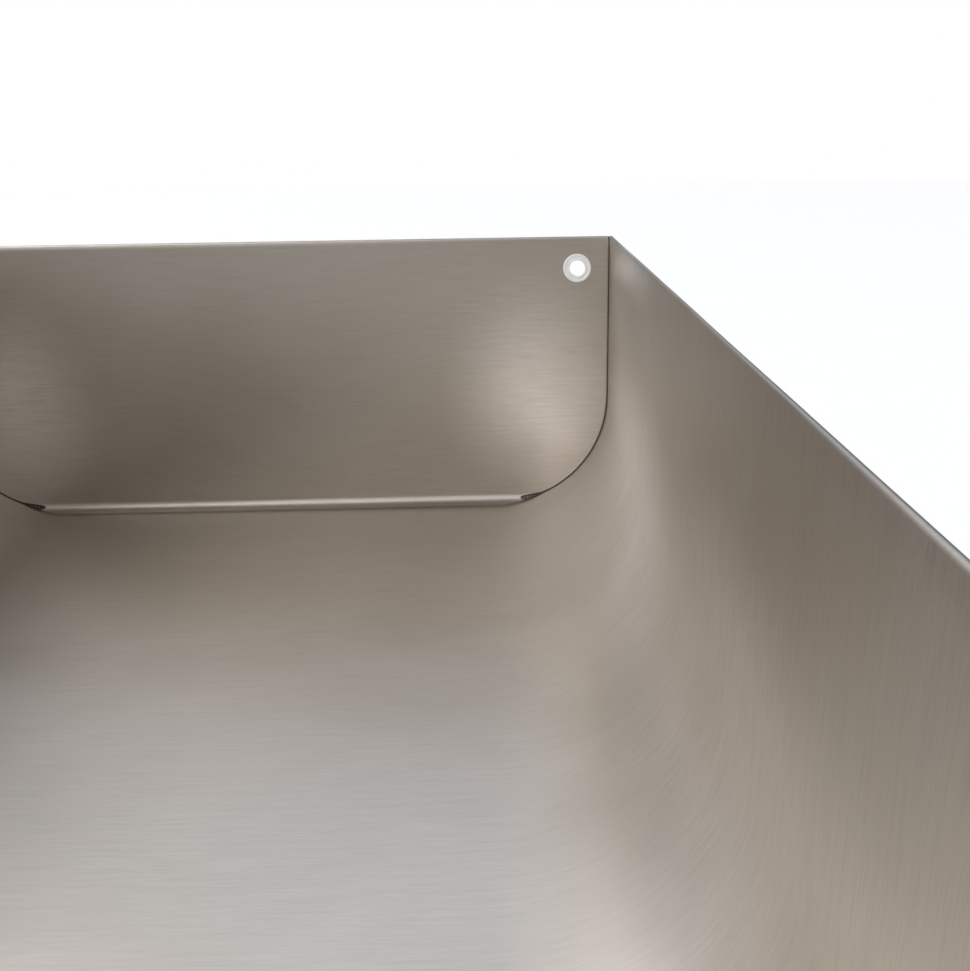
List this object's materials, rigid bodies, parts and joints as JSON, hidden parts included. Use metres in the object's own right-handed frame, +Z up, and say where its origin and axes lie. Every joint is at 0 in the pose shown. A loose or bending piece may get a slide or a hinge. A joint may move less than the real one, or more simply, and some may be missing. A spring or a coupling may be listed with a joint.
{
  "type": "wave slide",
  "caption": "Straight playground slide in brushed stainless steel, with a level seat, a waved chute, rounded edges and a bolted end wall, on braced posts.",
  "frame": {"origin": "on the ground, under the middle of the slide's length and width", "axes": "+X to the right for someone who faces the tower, +Y towards the tower, +Z up; the slide runs down towards -Y"},
  "size_m": [0.565, 3.2308, 1.5],
  "materials": {
    "brushed_stainless": "fine brushed grain, warm grey, lightly worn",
    "satin_stainless": "satin mill finish",
    "support_stainless": "ground satin finish with faint lengthwise grain",
    "plain_stainless": "plain bright fasteners",
    "white_polymer": "light polymer bush, smooth",
    "black_polymer": "black plastic cap, fine texture"
  },
  "bodies": {
    "root": {"head_trough": "brushed_stainless", "wave_trough": "brushed_stainless", "runout_trough": "brushed_stainless", "mounting_bushes": "white_polymer", "seat_rib": "satin_stainless", "wave_rib_upper": "satin_stainless", "wave_rib_middle": "satin_stainless", "wave_rib_lower": "satin_stainless", "runout_rib": "satin_stainless", "head_joint_collar": "satin_stainless", "wave_upper_collar": "satin_stainless", "wave_lower_collar": "satin_stainless", "runout_joint_collar": "satin_stainless", "upper_joint_bolts": "plain_stainless", "upper_joint_washers": "plain_stainless", "upper_joint_nuts": "plain_stainless", "lower_joint_bolts": "plain_stainless", "lower_joint_washers": "plain_stainless", "lower_joint_nuts": "plain_stainless", "head_cross_beam": "support_stainless", "head_beam_caps": "black_polymer", "head_lugs": "support_stainless", "head_fork_left": "support_stainless", "head_fork_right": "support_stainless", "head_post_left": "support_stainless", "head_post_right": "support_stainless", "head_base_plate_left": "support_stainless", "head_base_plate_right": "support_stainless", "head_pivot_bolts": "plain_stainless", "head_pivot_washers": "plain_stainless", "head_pivot_nuts": "plain_stainless", "front_brace": "support_stainless", "rear_brace": "support_stainless", "brace_bolts": "plain_stainless", "brace_washers": "plain_stainless", "brace_nuts": "plain_stainless", "runout_cross_beam": "support_stainless", "runout_beam_caps": "black_polymer", "runout_lugs": "support_stainless", "runout_fork_left": "support_stainless", "runout_fork_right": "support_stainless", "runout_post_left": "support_stainless", "runout_post_right": "support_stainless", "runout_base_plate_left": "support_stainless", "runout_base_plate_right": "support_stainless", "runout_pivot_bolts": "plain_stainless", "runout_pivot_washers": "plain_stainless", "runout_pivot_nuts": "plain_stainless"}
  },
  "joints": []
}
